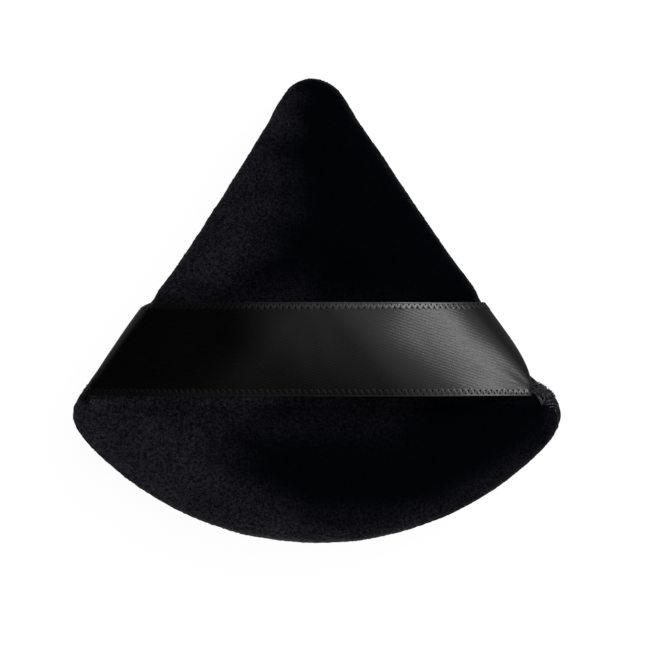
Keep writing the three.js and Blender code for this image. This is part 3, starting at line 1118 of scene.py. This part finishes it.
def satin_material():
    """Satin, whose faint diagonal twill and streaks follow the ribbon's length and width."""
    m = Recipe("satin")
    weave = m.node("UVMap", uv_map="weave").outputs[0]
    along, across = m.node("SeparateXYZ", {0: weave}).outputs[:2]

    def stretched(along_scale, across_scale):
        place = {0: m.scaled(along, along_scale), 1: m.scaled(across, across_scale)}
        return m.node("CombineXYZ", place).outputs[0]

    twill_slant = math.radians(18)
    twill_pitch = 0.45
    diagonal = m.maths("SUBTRACT", across, m.scaled(along, math.tan(twill_slant)))
    turns = 2 * math.pi * math.cos(twill_slant) / twill_pitch
    twill = m.maths("SINE", m.scaled(diagonal, turns))
    streaks = m.noise(stretched(0.35, 5.0), 1.0, 3.0, 0.6)
    threads = m.noise(stretched(1.0, 2.0), 4.0)
    relief = m.maths("ADD", m.scaled(twill, -0.22), m.scaled(threads, -0.8))
    relief = m.maths("ADD", relief, m.scaled(streaks, -0.8))
    m.paint(m.between(threads), (0.0004, 0.0004, 0.0005), (0.0012, 0.0012, 0.0013))
    m.set(Roughness=m.between(streaks, 0.3, 0.7, 0.22, 0.3), Specular_IOR_Level=0.5)
    m.set(Normal=m.bump(relief, 0.000012, 0.8))
    return m.made


# Painted shade: the dark matt strip that stands for the shaded gaps of the woven edge.
def painted_shade_material():
    m = Recipe("selvedge painted shade")
    m.paint(m.noise(m.place(), 3000.0), (0.001, 0.001, 0.0011), (0.004, 0.004, 0.0042))
    m.set(Roughness=0.8, Specular_IOR_Level=0.1)
    return m.made


def edging_material():
    m = Recipe("edging")
    fibre = m.noise(m.place(), 4000.0)
    m.paint(m.between(fibre), (0.0004, 0.0004, 0.0005), (0.0012, 0.0012, 0.0014))
    m.set(Roughness=0.28, Specular_IOR_Level=0.8, Normal=m.bump(fibre, 0.00001, 0.4))
    return m.made


def thread_material():
    m = Recipe("thread")
    fluff = m.noise(m.place(), 5000.0)
    m.paint(m.between(fluff), (0.003, 0.003, 0.0033), (0.012, 0.0115, 0.0125), Sheen_Weight=0.1)
    m.set(Roughness=0.45, Specular_IOR_Level=0.4, Normal=m.bump(m.twist(900.0), 0.00002, 0.6))
    return m.made


def tack_material():
    m = Recipe("tacking thread")
    twist = m.twist(700.0)
    # The thread's pale tone, lightest along its twist, is a painted highlight.
    highlight_patches = m.between(m.noise(m.place(), 1300.0, 3.0), 0.38, 0.62)
    m.paint(m.scaled(highlight_patches, twist), (0.006, 0.006, 0.0065), (0.13, 0.127, 0.132))
    m.set(Roughness=0.45, Specular_IOR_Level=0.5, Normal=m.bump(twist, 0.00002, 0.6))
    return m.made


def foam_material():
    m = Recipe("foam")
    place = m.place()
    cells = m.node("TexVoronoi", {"Vector": place, "Scale": 1400.0}).outputs["Distance"]
    tone = m.between(m.noise(place, 300.0, 3.0), 0.3, 0.7)
    m.paint(tone, (0.78, 0.73, 0.62), (0.86, 0.83, 0.75), Roughness=0.95)
    m.set(Specular_IOR_Level=0.2, Normal=m.bump(cells, 0.0003, 0.8))
    return m.made


def give(material, *objects):
    for obj in objects:
        obj.data.materials.append(material)


thread = thread_material()
painted_shade_strip = painted_shade_material()
give(velvet_material(), front_velvet, back_velvet)
give(satin_material(), *ribbons.values())
for side, obj in ribbons.items():
    obj.data.materials.append(painted_shade_strip)
    mark_painted_shade(obj, side)
give(edging_material(), *edgings)
give(thread, closing)
give(tack_material(), tacks)
give(pile_material(), pile)
give(foam_material(), sponge)
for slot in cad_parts["seam_thread"].material_slots:
    slot.material = thread


# Floor, lights and room. The satin's light and the bright part of the room lie in one bearing,
# in degrees from +X towards +Y.
satin_bearing = 36


def add_floor():
    """A pale floor, nearly white to the camera as in the photo and dim to the puff."""
    half = 0.9
    mesh = bpy.data.meshes.new("floor")
    corners = [(-half, -half, 0), (half, -half, 0), (half, half, 0), (-half, half, 0)]
    mesh.from_pydata(corners, [], [(0, 1, 2, 3)])
    m = Recipe("floor")
    m.paint(m.noise(m.place(), 40.0), (0.14, 0.14, 0.14), (0.15, 0.15, 0.15), Roughness=0.9)
    m.set(Specular_IOR_Level=0.1, Emission_Color=(1, 1, 1, 1))
    m.set(Emission_Strength=m.between(m.camera_ray(), 0, 1, 0.12, 0.95))
    mesh.materials.append(m.made)
    show("floor", mesh)


def direction(around, up):
    """Towards a place in the sky, from degrees round and up."""
    around, up = math.radians(around), math.radians(up)
    return (math.cos(around) * math.cos(up), math.sin(around) * math.cos(up), math.sin(up))


def add_area_light(name, around, up, distance, size, radiance):
    """An area light that faces the puff, from degrees round and up."""
    data = bpy.data.lights.new(name, "AREA")
    data.shape = "RECTANGLE"
    data.size, data.size_y = size
    data.energy = radiance * math.pi * size[0] * size[1]
    light = show(name, data)
    away = Vector(direction(around, up))
    light.location = away * distance + Vector((0, 0, 0.01))
    light.rotation_euler = away.to_track_quat("Z", "Y").to_euler()
    light.visible_camera = False


add_floor()
add_area_light("satin_glow", satin_bearing, 32.5, 0.8, (0.4, 0.13), 7.0)
add_area_light("left_key", 217, 16, 0.8, (0.5, 0.2), 7.8)


def add_studio():
    """A dim room that grows lighter towards the satin's light, and is pale behind the puff."""
    m = Recipe("studio", bpy.data.worlds, "Background")
    ways = {0: m.node("TexCoord").outputs["Generated"], 1: direction(satin_bearing, 36)}
    product = m.node("VectorMath", ways, operation="DOT_PRODUCT")
    toward_light = product.outputs["Value"]
    glow = m.maths("POWER", m.maths("MAXIMUM", toward_light, 0.0), 2.2)
    glow = m.maths("ADD", m.scaled(glow, 0.85), 0.009)
    m.set(Strength=glow, Color=(1, 1, 1, 1))
    room = m.surface.outputs[0]
    pale = m.node("Background", {"Color": (1, 1, 1, 1)}).outputs[0]
    chosen = m.node("MixShader", {0: m.camera_ray(), 1: room, 2: pale})
    m.feed(m.tree.nodes["World Output"].inputs["Surface"], chosen.outputs[0])
    bpy.context.scene.world = m.made


add_studio()

# The camera looks straight down, as the photograph does. The sizes of the photograph and the
# place of the outline's middle in it, above and to the left of its own middle, are in pixels.
pixels_per_mm = 6.2
photo_width, photo_height = 654, 659
outline_x, outline_y = 317, 310.75
outline_z = 7  # the height in mm at which the scale holds
view_x = (photo_width / 2 - outline_x) / pixels_per_mm
view_y = (outline_y - photo_height / 2) / pixels_per_mm
camera_height = 1.0
camera_data = bpy.data.cameras.new("camera")
camera_data.sensor_width = 36
seen_size = photo_height / pixels_per_mm * MM
camera_data.lens = camera_data.sensor_width * (camera_height - outline_z * MM) / seen_size
camera_data.clip_start = 0.01
camera_data.clip_end = 20
camera = show("camera", camera_data)
camera.location = (view_x * MM, (view_y + shift_y) * MM, camera_height)
bpy.context.scene.camera = camera
bpy.context.scene.view_settings.view_transform = "Standard"
